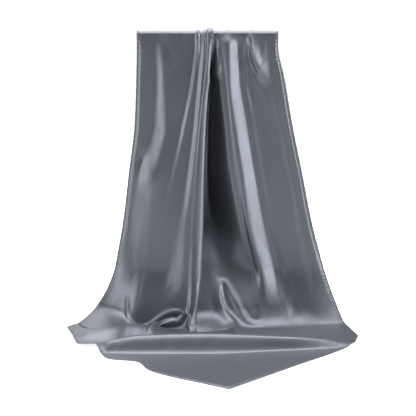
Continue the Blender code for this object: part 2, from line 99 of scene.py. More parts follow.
# The front stretch, left to right. Each line of the folds has its x at the rod, at the
# heights in LEVELS and at the foot, and how far out from the rod's axis it stands at those
# heights and at the top of the bend. lift is how far it stands off the rod, depth is how
# deep the bend at its foot is, ramp is the height of the bend's third control point, and run
# is where along the hem the line ends.
LEVELS = (78.3, 68.8, 56.3, 42.3, 28.3, 15.6)
FoldLine = namedtuple(
    "FoldLine",
    "name x_rod x_high x_upper x_mid x_lower x_low x_foot"
    " out_rod out_high out_upper out_mid out_lower out_low out_foot lift depth ramp run",
)
FOLD_LINES = (
    FoldLine("left edge", -19.4, -19.7, -20.3, -22.1, -23.9, -26.2, -33.4,
             1.0, 1.1, 1.5, 2.0, 2.4, 3.5, 3.2, 0.0, 9.2, 0.5, 0.0),
    FoldLine("left curl", -18.1, -18.4, -18.9, -21.1, -22.9, -25.2, -31.8,
             1.4, 1.7, 2.2, 2.6, 3.0, 4.1, 4.4, 0.0, 12.0, 0.9, 5.0),
    FoldLine("soft band, left", -15.2, -14.8, -15.6, -19.5, -21.8, -23.4, -29.0,
             1.2, 1.7, 2.1, 2.9, 3.3, 4.9, 6.3, 0.0, 13.0, 1.1, 13.0),
    FoldLine("soft band, right", -12.2, -11.8, -11.5, -14.5, -17.0, -20.4, -24.4,
             1.8, 2.8, 3.8, 4.9, 5.2, 5.8, 8.8, 0.0, 8.0, 0.6, 28.0),
    FoldLine("wide dip", -8.6, -8.6, -9.6, -12.4, -15.4, -18.6, -21.6,
             1.4, 2.9, 3.9, 5.2, 5.7, 6.3, 10.2, 0.0, 3.0, 0.0, 32.5),
    FoldLine("thin fold a, left", -3.9, -5.0, -7.6, -10.7, -14.2, -16.6, -19.4,
             1.3, 2.9, 3.9, 5.3, 6.0, 6.7, 10.6, 0.0, 1.6, 0.0, 36.4),
    FoldLine("thin fold a, right", -2.8, -3.8, -6.0, -8.8, -12.0, -14.4, -17.0,
             1.9, 3.6, 4.6, 5.8, 6.5, 7.0, 10.8, 0.3, 1.6, 0.0, 41.6),
    FoldLine("thin fold b, left", -2.1, -3.0, -4.3, -6.1, -8.6, -11.6, -13.4,
             1.6, 3.6, 4.6, 5.9, 6.9, 7.3, 11.1, 0.0, 1.8, 0.0, 48.0),
    FoldLine("thin fold b, right", -0.9, -1.7, -2.9, -4.5, -6.2, -7.0, -9.4,
             2.1, 4.3, 5.4, 6.8, 7.8, 9.3, 11.6, 0.3, 2.0, 0.0, 55.0),
    FoldLine("main crest, foot", -0.3, -1.1, -2.45, -3.8, -4.9, -5.5, -5.9,
             2.0, 4.4, 5.55, 7.05, 8.15, 9.8, 12.1, 0.5, 3.0, 1.0, 58.6),
    FoldLine("main crest", 0.2, -0.6, -2.0, -2.8, -3.6, -3.9, -5.1,
             2.3, 4.6, 5.75, 7.35, 8.5, 10.4, 12.8, 0.75, 3.6, 1.4, 61.0),
    FoldLine("main crest, right", 1.0, 0.3, -0.6, -1.1, -1.3, -1.8, -4.0,
             1.9, 4.0, 5.0, 6.4, 7.1, 9.0, 12.0, 0.75, 4.2, 1.5, 63.2),
    FoldLine("recess, left", 1.2, -0.2, -1.8, -2.6, -2.9, -3.2, -3.3,
             1.0, -1.0, -2.4, -3.2, -3.4, 3.6, 9.9, 0.3, 7.0, 1.8, 65.8),
    FoldLine("recess", 1.5, 0.9, 0.1, -0.2, 0.2, 0.8, -0.4,
             0.9, -3.0, -4.6, -5.0, -3.4, 3.3, 9.5, 0.0, 7.4, 1.9, 70.0),
    FoldLine("recess, right", 1.9, 1.9, 2.2, 2.6, 3.6, 4.8, 3.8,
             0.9, 0.0, -0.4, -0.2, -1.0, 2.8, 8.6, 0.0, 7.0, 1.4, 75.5),
    FoldLine("inner ridge", 2.8, 3.4, 5.0, 6.6, 9.0, 12.0, 13.0,
             1.5, 2.4, 3.1, 3.7, 4.0, 4.1, 9.3, 0.1, 5.0, 0.0, 84.0),
    FoldLine("inner ridge, right", 3.7, 4.7, 6.0, 7.7, 10.2, 13.2, 15.0,
             1.9, 2.3, 3.2, 3.9, 4.3, 4.5, 9.4, 0.0, 5.0, 0.0, 86.6),
    FoldLine("bright flank, crest", 5.6, 5.8, 7.3, 9.5, 11.5, 14.8, 17.2,
             2.4, 2.8, 3.7, 4.6, 5.2, 5.6, 9.2, 0.1, 5.4, 0.0, 89.6),
    FoldLine("bright flank, foot", 8.4, 9.0, 11.0, 13.3, 15.9, 18.9, 21.0,
             0.9, 1.2, 1.9, 2.5, 3.1, 3.7, 8.5, 0.0, 5.8, 0.0, 94.2),
    FoldLine("valley", 9.6, 10.3, 12.3, 14.6, 17.3, 20.3, 22.8,
             0.9, 1.1, 1.8, 2.4, 3.0, 3.6, 8.2, 0.0, 5.6, 0.0, 96.8),
    FoldLine("faint fold", 10.8, 11.7, 13.8, 16.3, 19.0, 22.2, 25.0,
             1.1, 1.5, 2.2, 2.9, 3.5, 4.2, 7.7, 0.05, 5.7, 0.0, 100.0),
    FoldLine("side pleat", 12.0, 13.1, 15.5, 18.2, 21.4, 24.2, 27.0,
             1.1, 1.5, 2.1, 2.9, 3.6, 4.3, 7.5, 0.1, 5.4, 0.0, 103.4),
    FoldLine("long fold, left", 15.2, 15.8, 18.5, 21.6, 24.3, 27.0, 29.6,
             1.2, 1.7, 2.3, 3.0, 3.7, 4.5, 7.2, 0.0, 4.3, 0.0, 108.0),
    FoldLine("long fold, right", 16.8, 18.0, 20.6, 23.8, 26.4, 29.4, 32.2,
             1.0, 1.5, 2.0, 2.7, 3.4, 4.2, 6.9, 0.0, 3.6, 0.0, 111.4),
    FoldLine("right curl", 18.4, 20.2, 22.4, 25.4, 28.2, 31.4, 36.8,
             1.2, 1.8, 2.3, 3.0, 3.7, 4.1, 6.1, 0.0, 3.2, 0.0, 119.0),
    FoldLine("right edge", 19.1, 21.1, 23.4, 26.4, 29.3, 32.6, 38.4,
             1.0, 1.1, 1.4, 2.0, 2.6, 3.6, 5.7, 0.0, 3.1, 0.0, 124.9),
)

# The hem that lies on the surface, from the left corner round to the right bend
HemPoint = namedtuple("HemPoint", "name x out")
LEFT_CORNER = HemPoint("left corner", -39.3, 13.4)
FRONT_CORNER = HemPoint("front corner", 5.1, 61.4)
END_HEM = (
    LEFT_CORNER,
    HemPoint("left side", -36.7, 21.6),
    HemPoint("fold mouth back", -33.8, 29.4),
    HemPoint("fold mouth front", -29.8, 31.3),
    HemPoint("first wave out", -25.5, 39.3),
    HemPoint("first wave in", -18.0, 41.6),
    HemPoint("second wave out", -14.6, 48.0),
    HemPoint("long side", -7.4, 53.8),
    HemPoint("last wave", -2.0, 57.0),
    FRONT_CORNER,
)
LONG_HEM = (
    FRONT_CORNER,
    HemPoint("half way", 22.5, 44.3),
    HemPoint("fold end", 35.8, 31.2),
    HemPoint("right bend", 38.9, 27.0),
    HemPoint("right end", 41.1, 20.0),
)

# The low fold across the cloth on the surface
Roll = namedtuple("Roll", "name x out_front height depth_front depth_back")
ROLL = (
    Roll("beyond the left hem", -37.0, 31.5, 0.8, 1.6, 3.5),
    Roll("left mouth", -31.5, 33.0, 1.3, 1.8, 4.5),
    Roll("left slope", -26.0, 35.2, 2.5, 2.8, 6.0),
    Roll("left shoulder", -18.0, 35.9, 3.9, 4.0, 8.0),
    Roll("middle", 0.0, 36.2, 4.4, 4.4, 9.0),
    Roll("right shoulder", 16.5, 33.8, 3.4, 3.0, 7.5),
    Roll("right slope", 25.0, 32.4, 2.7, 2.4, 6.0),
    Roll("right toe", 31.0, 31.4, 1.9, 2.3, 5.0),
    Roll("right end", 35.5, 30.4, 0.9, 1.5, 4.0),
    Roll("beyond the right hem", 42.0, 29.0, 0.0, 1.0, 3.0),
)

# Creases laid on the folds. Each point has its x, its walk and its rise. The walk is
# measured down the cloth: minus the height while it hangs, and the distance out from the
# bend once it lies. The rise is how far the crease stands out there, or sinks in where it is
# negative. left and right are how wide the crease's two sides are, for someone who walks
# along its points on the outer face of the cloth.
Crease = namedtuple("Crease", "name left right points")
CREASES = (
    # Round the foot, left of the main crest
    Crease("lip of the pouch", 0.5, 0.5, (
        (-22.8, -8.0, 0.0), (-22.7, -6.0, 0.25), (-22.6, -3.8, 0.35), (-22.1, -2.5, 0.4),
        (-21.0, -1.1, 0.4), (-19.4, -0.6, 0.4), (-18.0, -1.0, 0.4), (-16.4, -1.9, 0.45),
        (-14.9, -2.8, 0.5), (-13.2, -3.7, 0.55), (-11.2, -4.3, 0.6), (-9.2, -4.6, 0.55),
        (-7.8, -4.6, 0.5), (-7.1, -4.2, 0.5), (-7.7, -3.4, 0.5), (-8.7, -2.3, 0.4),
        (-9.4, -1.0, 0.1),
    )),
    Crease("tongue", 1.3, 0.6, (
        (-8.6, -3.0, 0.3), (-10.4, -2.8, 0.9), (-12.2, -2.3, 1.4), (-13.6, -1.6, 1.5),
        (-14.7, 0.2, 1.5), (-15.3, 3.5, 1.2), (-16.0, 7.5, 0.6), (-16.8, 11.0, 0.0),
    )),
    Crease("swirl", 0.5, 0.6, (
        (-4.8, -9.5, 0.0), (-4.8, -7.2, 0.1), (-5.3, -5.0, 0.35), (-6.4, -4.0, 0.35),
        (-7.8, -2.6, 0.15),
    )),
    Crease("hollow beside the swirl", 0.5, 0.6, (
        (-5.2, -3.0, 0.0), (-4.2, -5.4, -0.2), (-3.8, -8.2, -0.15), (-3.7, -11.0, 0.0),
    )),
    Crease("foot of the main crest", 0.6, 0.6, (
        (-3.1, -12.5, 0.0), (-3.5, -8.5, 0.25), (-4.0, -5.4, 0.35), (-4.7, -3.6, 0.4),
        (-5.5, -1.8, 0.3), (-6.3, 0.5, 0.0),
    )),
    Crease("left corner", 5.0, 4.5, (
        (-39.5, 1.5, 0.4), (-36.5, 1.0, 1.2), (-31.0, 1.5, 2.0), (-25.0, 3.0, 2.4),
        (-20.0, 5.0, 2.3), (-16.5, 6.0, 2.0), (-13.0, 7.0, 0.9), (-11.0, 7.5, 0.0),
    )),
    # Round the foot, right of the main crest
    Crease("finger, left side", 0.9, 1.3, (
        (3.9, -12.2, 0.0), (3.3, -11.0, 0.45), (3.0, -9.0, 0.7), (3.3, -6.3, 0.9),
        (4.1, -4.6, 0.9), (5.2, -3.4, 0.85), (6.8, -2.1, 0.9), (7.7, 1.5, 1.0), (8.2, 5.0, 0.8),
        (8.6, 8.0, 0.3), (8.8, 9.5, 0.0),
    )),
    Crease("finger, right side", 0.7, 0.9, (
        (3.9, -12.2, 0.0), (5.1, -10.9, 0.4), (6.4, -8.6, 0.55), (7.8, -6.3, 0.75),
        (8.9, -4.6, 0.75), (10.2, -3.4, 0.7), (11.6, -2.3, 0.5), (13.5, -2.0, 0.3),
        (16.5, -2.6, 0.0),
    )),
    Crease("end of the inner ridge", 0.9, 1.0, (
        (12.8, -13.7, 0.05), (14.1, -10.7, 0.12), (14.5, -7.6, 0.14), (14.3, -5.4, 0.14),
        (13.8, -4.1, 0.2), (13.0, -3.6, 0.25), (12.2, -4.0, 0.2), (11.0, -5.4, 0.1),
        (8.9, -7.6, 0.0),
    )),
    # Below the rod
    Crease("fan pleat", 1.9, 0.6, (
        (11.4, -80.2, 0.3), (11.9, -77.5, 1.0), (12.6, -74.5, 1.45), (13.8, -71.5, 1.1),
        (15.4, -68.5, 0.2), (16.0, -67.5, 0.0),
    )),
    Crease("pleat line", 0.4, 0.4, (
        (11.9, -80.4, 0.15), (12.2, -75.2, 0.15), (12.7, -70.0, 0.15), (15.1, -65.2, 0.12),
        (18.6, -60.5, 0.0),
    )),
    Crease("arc beside the pleat", 0.5, 0.5, (
        (11.3, -80.4, 0.1), (10.5, -77.5, 0.15), (10.0, -74.0, 0.15), (10.2, -70.0, 0.15),
        (11.5, -65.2, 0.12), (13.4, -57.0, 0.0),
    )),
    Crease("bulge into the recess", 0.6, 0.8, (
        (2.7, -77.5, 0.2), (3.0, -73.5, 0.3), (2.7, -70.6, 0.6), (1.2, -68.8, 0.9),
        (0.7, -67.8, 0.2),
    )),
    Crease("gather 1", 0.35, 0.35, ((-6.8, -80.6, 0.35), (-6.7, -77.0, 0.0))),
    Crease("gather 2", 0.35, 0.35, ((-3.3, -80.6, 0.2), (-3.3, -78.7, 0.0))),
    Crease("gather 3", 0.35, 0.35, ((-1.1, -80.6, 0.4), (-1.1, -77.5, 0.0))),
    Crease("gather 4", 0.4, 0.4, ((5.2, -80.6, 0.15), (5.2, -79.0, 0.0))),
    Crease("soft wave below the rod", 1.6, 1.6, (
        (-9.7, -77.0, 0.0), (-9.7, -74.0, 0.25), (-9.7, -71.0, 0.0),
    )),
    # Half way down on the left
    Crease("soft swell", 2.5, 2.5, ((-16.0, -46.0, 0.0), (-16.5, -41.0, 0.5), (-18.0, -37.0, 0.0))),
    Crease("pocket", 1.0, 1.0, ((-18.8, -50.0, 0.0), (-18.8, -46.0, -0.35), (-19.0, -42.5, 0.0))),
)

# The stretch behind the rod, left to right as seen from the front. It lies flat on the rod
# and opens into its folds over BACK_OPENS.
BACK_OPENS = 22.0
BackFold = namedtuple("BackFold", "name x_top x_low out_low length")
BACK_FOLDS = (
    BackFold("left edge", -19.4, -21.4, 1.4, 73.0),
    BackFold("ridge 1", -17.2, -18.8, 4.0, 70.0),
    BackFold("dip 1", -14.0, -15.6, 1.8, 66.0),
    BackFold("ridge 2", -10.6, -12.0, 4.8, 61.5),
    BackFold("dip 2", -7.4, -8.4, 2.2, 57.5),
    BackFold("ridge 3", -3.4, -3.6, 6.2, 51.5),
    BackFold("dip 3", -1.0, -0.8, 5.8, 47.5),
    BackFold("ridge 4", 1.6, 2.0, 6.3, 43.5),
    BackFold("dip 4", 5.4, 6.4, 2.0, 38.0),
    BackFold("ridge 5", 8.8, 10.0, 3.6, 32.5),
    BackFold("dip 5", 12.2, 13.6, 1.6, 27.5),
    BackFold("ridge 6", 15.6, 17.0, 2.8, 22.5),
    BackFold("right edge", 19.1, 20.8, 1.4, 18.0),
)

# How finely the cloth is made. COLUMNS are shared out by the gaps between fold lines, each
# counted EVEN_GAP wider than it is. DROP_HEIGHTS holds the two heights and the rows of each
# part of the hanging front. SPREAD_ROWS holds the rows on the surface, up to three marks and
# then the hem. ROLL_SHARES says where the marks lie: -1 behind the low fold, 0 on its ridge
# and 1 at its front foot. No mark lies further along a column than its share in ROLL_LATEST,
# and ROLL_PASSES rounds settle it.
COLUMNS = 240
LEAST_COLUMNS = 5
EVEN_GAP = 2.0
BACK_ROWS = 24
WRAP_ROWS = 11
DROP_HEIGHTS = ((80.4, 70.0, 17), (70.0, 20.0, 35), (20.0, BEND_HEIGHT, 34))
BEND_ROWS = 28
SPREAD_ROWS = (14, 12, 10, 16)
ROLL_SHARES = (-1.0, 0.0, 1.0)
ROLL_LATEST = (0.55, 0.75, 0.88)
ROLL_PASSES = 4
CREASE_STEPS = 4

# Taken off the walk of the cloth over and behind the rod, so that no crease reaches it
BEHIND_WALK = 200.0

# Hems and their stitches. HEM_WOBBLES holds the period, phase and size of each unevenness.
HEM_STEP = 0.25
HEM_SIDES = 10
HEM_WOBBLES = ((1.3, 0.3, 0.020), (0.83, 1.9, 0.014), (3.1, 4.0, 0.020))
STITCH_SPACING = 0.36
STITCH_LENGTH = 0.24
STITCH_THICKNESS = 0.035
STITCH_INSET = 0.07

# Materials. A grain is how often a noise changes along each axis: in a centimetre of cloth
# for satin, and in a metre for the rest. A bump's distance is in metres. FLOAT is the satin's
# long floating threads, THREAD the finer ones, PATCH its slow change of tone, and SLACK the
# slight unevenness of hanging cloth.
Bump = namedtuple("Bump", "distance strength")
SatinFace = namedtuple("SatinFace", "name colour roughness metallic streaks")
SHINY_FACE = SatinFace("satin", (0.0735, 0.08, 0.094), 0.41, 0.74, 0.10)
DULL_FACE = SatinFace("satin reverse", (0.118, 0.127, 0.147), 0.6, 0.2, 0.06)
FLOAT_GRAIN = (7.0, 0.7, 1.0)
THREAD_GRAIN = (26.0, 2.2, 1.0)
PATCH_GRAIN = (0.12, 0.05, 1.0)
SLACK_GRAIN = (0.3, 0.1, 1.0)
THREAD_SHARE = 0.5
PATCH_TINT = 0.07
ROUGHNESS_SPREAD = 0.07
SHEEN = 0.08
SHEEN_ROUGHNESS = 0.4
PUCKER_PERIOD = 1.15
PUCKER_REACH = 1.3
PUCKER_DRIFT = 3.0
PUCKER_BUMP = Bump(0.0006, 0.6)
SLACK_BUMP = Bump(0.004, 0.35)
WEAVE_BUMP = Bump(0.0003, 0.35)
HEM_COLOUR = (0.062, 0.067, 0.079)
HEM_GRAIN = (900.0, 900.0, 900.0)
HEM_TONE_GRAIN = (18.0, 18.0, 18.0)
HEM_TONES = (0.8, 1.2)
HEM_ROUGHNESS = (0.42, 0.62)
HEM_METALLIC = 0.35
HEM_BUMP = Bump(0.0004, 0.35)
THREAD_COLOUR = (0.085, 0.092, 0.108)
TWIST_GRAIN = (2500.0, 2500.0, 2500.0)
THREAD_TONES = (0.75, 1.25)
THREAD_ROUGHNESS = (0.35, 0.6)
TWIST_BUMP = Bump(0.0002, 0.4)
ROD_COLOUR = (0.55, 0.56, 0.58)
PEEL_GRAIN = (420.0, 420.0, 420.0)
SCUFF_GRAIN = (12.0, 260.0, 260.0)
ROD_TONES = (0.88, 1.06)
ROD_ROUGHNESS = (0.5, 0.3)
ROD_METALLIC = 0.2
PEEL_BUMP = Bump(0.0003, 0.25)


def slopes(xs, ys):
    """Slopes of smooth curves through the points that never swing past them."""
    steps = np.diff(xs)
    secants = np.diff(ys, axis=0) / steps.reshape((-1,) + (1,) * (ys.ndim - 1))
    result = np.zeros_like(ys)
    result[0], result[-1] = secants[0], secants[-1]
    for k in range(1, len(xs) - 1):
        before, after = secants[k - 1], secants[k]
        weight_before = 2 * steps[k] + steps[k - 1]
        weight_after = steps[k] + 2 * steps[k - 1]
        same_way = before * after > 0
        safe_before = np.where(same_way, before, 1.0)
        safe_after = np.where(same_way, after, 1.0)
        total = weight_before + weight_after
        mean = total / (weight_before / safe_before + weight_after / safe_after)
        result[k] = np.where(same_way, mean, 0.0)
    return result


def through(xs, ys, x):
    """Read the smooth curve through (xs, ys) at every x."""
    xs, ys = np.asarray(xs, float), np.asarray(ys, float)
    x = np.clip(np.asarray(x, float), xs[0], xs[-1])
    k = np.clip(np.searchsorted(xs, x, side="right") - 1, 0, len(xs) - 2)
    bends = slopes(xs, ys)
    step = xs[k + 1] - xs[k]
    t = (x - xs[k]) / step
    extra = (1,) * (ys.ndim - 1)
    t, step = t.reshape(t.shape + extra), step.reshape(step.shape + extra)
    return (
        (1 + 2 * t) * (1 - t) ** 2 * ys[k]
        + t * (1 - t) ** 2 * step * bends[k]
        + t * t * (3 - 2 * t) * ys[k + 1]
        + t * t * (t - 1) * step * bends[k + 1]
    )


def column(rows, field, places):
    """A column of a table, read smoothly between its rows."""
    return through(range(len(rows)), [getattr(row, field) for row in rows], places)


def soft_step(t):
    """From 0 to 1 with level ends."""
    t = np.clip(t, 0.0, 1.0)
    return t * t * (3 - 2 * t)


def hem_marks(points):
    """How far along the hem each of its points lies."""
    gaps = [math.hypot(b.x - a.x, b.out - a.out) for a, b in zip(points, points[1:])]
    return np.concatenate(([0.0], np.cumsum(gaps)))


def hem_place(run):
    """Points of the hem on the surface, run centimetres from the left corner."""
    end_marks, long_marks = hem_marks(END_HEM), hem_marks(LONG_HEM)
    result = []
    for field in ("x", "out"):
        on_end = through(end_marks, [getattr(p, field) for p in END_HEM], run)
        on_long = through(long_marks, [getattr(p, field) for p in LONG_HEM], run - end_marks[-1])
        result.append(np.where(run <= end_marks[-1], on_end, on_long))
    return result


def roll_at(x):
    """Front foot, height and depths of the low fold at x."""
    places = [row.x for row in ROLL]
    fields = ("out_front", "height", "depth_front", "depth_back")
    return [through(places, [getattr(row, field) for row in ROLL], x) for field in fields]


def roll_height(x, out):
    """How high the low fold stands at a place on the surface."""
    front, height, depth_front, depth_back = roll_at(x)
    ridge = front - depth_front
    before = height * soft_step((front - out) / depth_front)
    behind = height * soft_step(1 - (ridge - out) / depth_back)
    return np.where(out > ridge, before, behind)


def fold_places():
    """Where the grid's columns lie among the fold lines, closer where folds are narrow."""
    gaps = []
    for a, b in zip(FOLD_LINES, FOLD_LINES[1:]):
        high = math.hypot(b.x_upper - a.x_upper, b.out_upper - a.out_upper)
        low = math.hypot(b.x_low - a.x_low, b.out_low - a.out_low)
        gaps.append(high + low + EVEN_GAP)
    shares = np.array(gaps) / sum(gaps)
    spare = COLUMNS - LEAST_COLUMNS * len(gaps)
    counts = LEAST_COLUMNS + np.floor(shares * spare).astype(int)
    counts[np.argmax(shares)] += COLUMNS - counts.sum()
    places = [k + step / count for k, count in enumerate(counts) for step in range(count)]
    return np.array(places + [len(FOLD_LINES) - 1])


def drop_rows(places):
    """The hanging front: x, out and height of each row."""
    x_fields = ("x_rod", "x_rod", "x_high", "x_upper", "x_mid", "x_lower", "x_low")
    out_fields = (
        "out_rod", "out_high", "out_upper", "out_mid", "out_lower", "out_low", "out_foot",
    )
    xs = np.array([column(FOLD_LINES, field, places) for field in x_fields])
    on_rod = ROD_RADIUS + ROD_GAP + column(FOLD_LINES, "lift", places)
    outs = np.array([on_rod] + [column(FOLD_LINES, field, places) for field in out_fields])
    levels = [AXIS_HEIGHT - level for level in LEVELS]
    heights = []
    for start, end, count in DROP_HEIGHTS:
        heights += [start + (end - start) * k / count for k in range(count)]
    heights = np.array(heights + [BEND_HEIGHT])
    x = drop_x(places, heights, xs, levels)
    out = through([0.0] + levels + [AXIS_HEIGHT - BEND_HEIGHT], outs, AXIS_HEIGHT - heights)
    return x, out, np.repeat(heights[:, None], len(places), axis=1)


def drop_x(places, heights, xs, levels):
    """The x of each hanging row: along the fold lines, then spreading towards the foot."""
    upper = through([0.0] + levels, xs, AXIS_HEIGHT - heights)
    low = LEVELS[-1]
    straight = (xs[-2] - xs[-1]) / (LEVELS[-2] - low)
    lean = xs[-1] - straight * (low - heights)[:, None]
    spread = column(FOLD_LINES, "x_foot", places) - (xs[-1] - straight * low)
    part_down = np.clip((low - heights) / low, 0.0, 1.0)[:, None]
    lower = lean + spread * part_down ** FOOT_SPREAD_POWER
    return np.where((heights >= low)[:, None], upper, lower)


def spread_ends(places):
    """Where each column leaves the foot and where it meets the hem."""
    depth = column(FOLD_LINES, "depth", places)
    start_out = column(FOLD_LINES, "out_foot", places) + depth
    hem_x, hem_out = hem_place(column(FOLD_LINES, "run", places))
    x_foot = column(FOLD_LINES, "x_foot", places)
    settled = SETTLED_SHARE * depth / np.maximum(hem_out - start_out, depth)
    return x_foot + (hem_x - x_foot) * settled, hem_x, start_out, hem_out


def bend_rows(places, x_drop, out_drop):
    """The foot, from upright to flat."""
    start_x, start_out = x_drop[-1], out_drop[-1]
    row_fall = (DROP_HEIGHTS[-1][0] - DROP_HEIGHTS[-1][1]) / DROP_HEIGHTS[-1][2]
    lean = np.clip((out_drop[-1] - out_drop[-2]) / row_fall, 0.0, STEEPEST_LEAN)
    drift = (x_drop[-1] - x_drop[-2]) / row_fall
    x_end = spread_ends(places)[0]
    x_foot = column(FOLD_LINES, "x_foot", places)
    depth = column(FOLD_LINES, "depth", places)
    ramp = column(FOLD_LINES, "ramp", places)
    rows = []
    for step in range(1, BEND_ROWS + 1):
        t = step / BEND_ROWS
        weights = ((1 - t) ** 3, 3 * t * (1 - t) ** 2, 3 * t * t * (1 - t), t ** 3)
        outs = (
            start_out,
            start_out + lean * BEND_HEIGHT * (1 - UPRIGHT),
            start_out + depth * BEND_SHARE,
            start_out + depth,
        )
        xs = (start_x, start_x + drift * BEND_HEIGHT * (1 - UPRIGHT), x_foot, x_end)
        heights = (BEND_HEIGHT, BEND_HEIGHT * UPRIGHT, ramp, 0.0)
        x = sum(w * v for w, v in zip(weights, xs))
        out = sum(w * v for w, v in zip(weights, outs))
        height = sum(w * v for w, v in zip(weights, heights))
        rows.append((x, out, height + roll_height(x, out) * t))
    return [np.array([row[k] for row in rows]) for k in range(3)]


def spread_rows(places):
    """The stretch on the surface, its rows following the low fold."""
    x_start, hem_x, start_out, hem_out = spread_ends(places)
    reach = hem_out - start_out
    marks = []
    for share, latest in zip(ROLL_SHARES, ROLL_LATEST):
        t = np.full(len(places), latest)
        for _pass in range(ROLL_PASSES):
            front, _height, depth_front, depth_back = roll_at(x_start + (hem_x - x_start) * t)
            wanted = front - max(1 - share, 0) * depth_front - max(-share, 0) * depth_back
            t = np.minimum((wanted - start_out) / reach, latest)
        marks.append(t)
    knots = np.array([np.zeros(len(places))] + marks + [np.ones(len(places))])
    rows = np.cumsum((0,) + SPREAD_ROWS)
    fractions = np.array([
        [np.interp(row, rows, knots[:, k]) for k in range(len(places))]
        for row in range(1, rows[-1] + 1)
    ])
    x = x_start + (hem_x - x_start) * fractions
    out = start_out + reach * fractions
    return x, out, roll_height(x, out), reach * fractions


def wrap_rows(places):
    """Over the rod, from behind it to in front of it. What stands off it dies away behind."""
    turns = np.radians(np.linspace(180, 0, WRAP_ROWS + 2)[1:-1])[:, None]
    share = np.where(turns > math.pi / 2, np.sin(turns) ** 0.5, 1.0)
    radius = ROD_RADIUS + ROD_GAP + column(FOLD_LINES, "lift", places) * share
    x = np.repeat(column(FOLD_LINES, "x_rod", places)[None, :], WRAP_ROWS, axis=0)
    return x, radius * np.cos(turns), AXIS_HEIGHT + radius * np.sin(turns)


def back_rows(places):
    """Behind the rod, from the hem up to the rod."""
    x_rod = column(FOLD_LINES, "x_rod", places)
    tops = [row.x_top for row in BACK_FOLDS]
    back_places = np.interp(x_rod, tops, range(len(BACK_FOLDS)))
    x_low, out_low, length = (
        column(BACK_FOLDS, field, back_places) for field in ("x_low", "out_low", "length")
    )
    down = length * np.linspace(1, 0, BACK_ROWS + 1)[:, None]
    opened = soft_step(down / np.minimum(BACK_OPENS, length))
    on_rod = ROD_RADIUS + ROD_GAP
    x = x_rod + (x_low - x_rod) * down / BACK_FOLDS[0].length
    return x, -(on_rod + (out_low - on_rod) * opened), AXIS_HEIGHT - down


def crease_path(crease):
    """A crease's points with a smooth curve laid through them."""
    points = np.array(crease.points)
    marks = np.concatenate(([0.0], np.cumsum(np.hypot(*np.diff(points[:, :2], axis=0).T))))
    steps = CREASE_STEPS * (len(points) - 1) + 1
    return through(marks, points, np.linspace(0.0, marks[-1], steps))


def crease_height(x, walk):
    """How far the creases raise the cloth at each point."""
    total = np.zeros_like(x)
    for crease in CREASES:
        nearest = np.full(x.shape, np.inf)
        raised = np.zeros_like(x)
        path = crease_path(crease)
        for a, b in zip(path, path[1:]):
            along_x, along_walk = b[0] - a[0], b[1] - a[1]
            length = math.hypot(along_x, along_walk)
            t = ((x - a[0]) * along_x + (walk - a[1]) * along_walk) / length ** 2
            t = np.clip(t, 0.0, 1.0)
            off_x, off_walk = x - a[0] - t * along_x, walk - a[1] - t * along_walk
            gap = np.hypot(off_x, off_walk)
            on_left = off_x * along_walk - off_walk * along_x > 0
            width = np.where(on_left, crease.left, crease.right)
            height = (a[2] + t * (b[2] - a[2])) * np.exp(-((gap / width) ** 2))
            closer = gap < nearest
            raised = np.where(closer, height, raised)
            nearest = np.where(closer, gap, nearest)
        total += raised
    return total


def unit(vectors):
    """The same directions, each of length 1."""
    return vectors / np.linalg.norm(vectors, axis=-1, keepdims=True)


def surface_normals(points):
    """Outward normals of a grid of points."""
    down = np.gradient(points, axis=0)
    across = np.gradient(points, axis=1)
    return unit(np.cross(down, across))


def cloth_grid():
    """The cloth's points in centimetres, as (rows, columns, xyz), and its columns' places."""
    places = fold_places()
    x_back, out_back, height_back = back_rows(places)
    x_wrap, out_wrap, height_wrap = wrap_rows(places)
    x_drop, out_drop, height_drop = drop_rows(places)
    x_bend, out_bend, height_bend = bend_rows(places, x_drop, out_drop)
    x_spread, out_spread, height_spread, reach = spread_rows(places)
    x = np.concatenate((x_back, x_wrap, x_drop, x_bend, x_spread))
    out = np.concatenate((out_back, out_wrap, out_drop, out_bend, out_spread))
    height = np.concatenate((height_back, height_wrap, height_drop, height_bend, height_spread))
    steps = np.arange(1, BEND_ROWS + 1)[:, None] / BEND_ROWS
    walk_bend = np.repeat(-BEND_HEIGHT * (1 - steps), len(places), axis=1)
    walk = np.concatenate((
        -height_back - BEHIND_WALK, -height_wrap - BEHIND_WALK, -height_drop, walk_bend, reach,
    ))
    points = np.stack((x, -out, height), axis=2)
    raised = crease_height(x, walk)
    points += surface_normals(points) * raised[:, :, None]
    points[:, :, 2] = np.maximum(points[:, :, 2], 0.0)
    return points, places


def mesh_object(name, vertices, faces, materials):
    """A smooth mesh in the scene, with its materials."""
    mesh = bpy.data.meshes.new(name)
    mesh.from_pydata(vertices, [], faces)
    mesh.update()
    mesh.shade_smooth()
    for material in materials:
        mesh.materials.append(material)
    piece = bpy.data.objects.new(name, mesh)
    bpy.context.scene.collection.objects.link(piece)
    return piece


def to_frame(points):
    """Points in centimetres above the surface, as metres in the frame."""
    placed = np.asarray(points) * CM
    placed[..., 2] += FLOOR_Z
    return placed


def lengths_along(points, axis):
    """Distances run along a grid's rows or columns, from its first point."""
    steps = np.linalg.norm(np.diff(points, axis=axis), axis=2)
    start = np.zeros_like(np.take(steps, [0], axis=axis))
    return np.concatenate((start, np.cumsum(steps, axis=axis)), axis=axis)


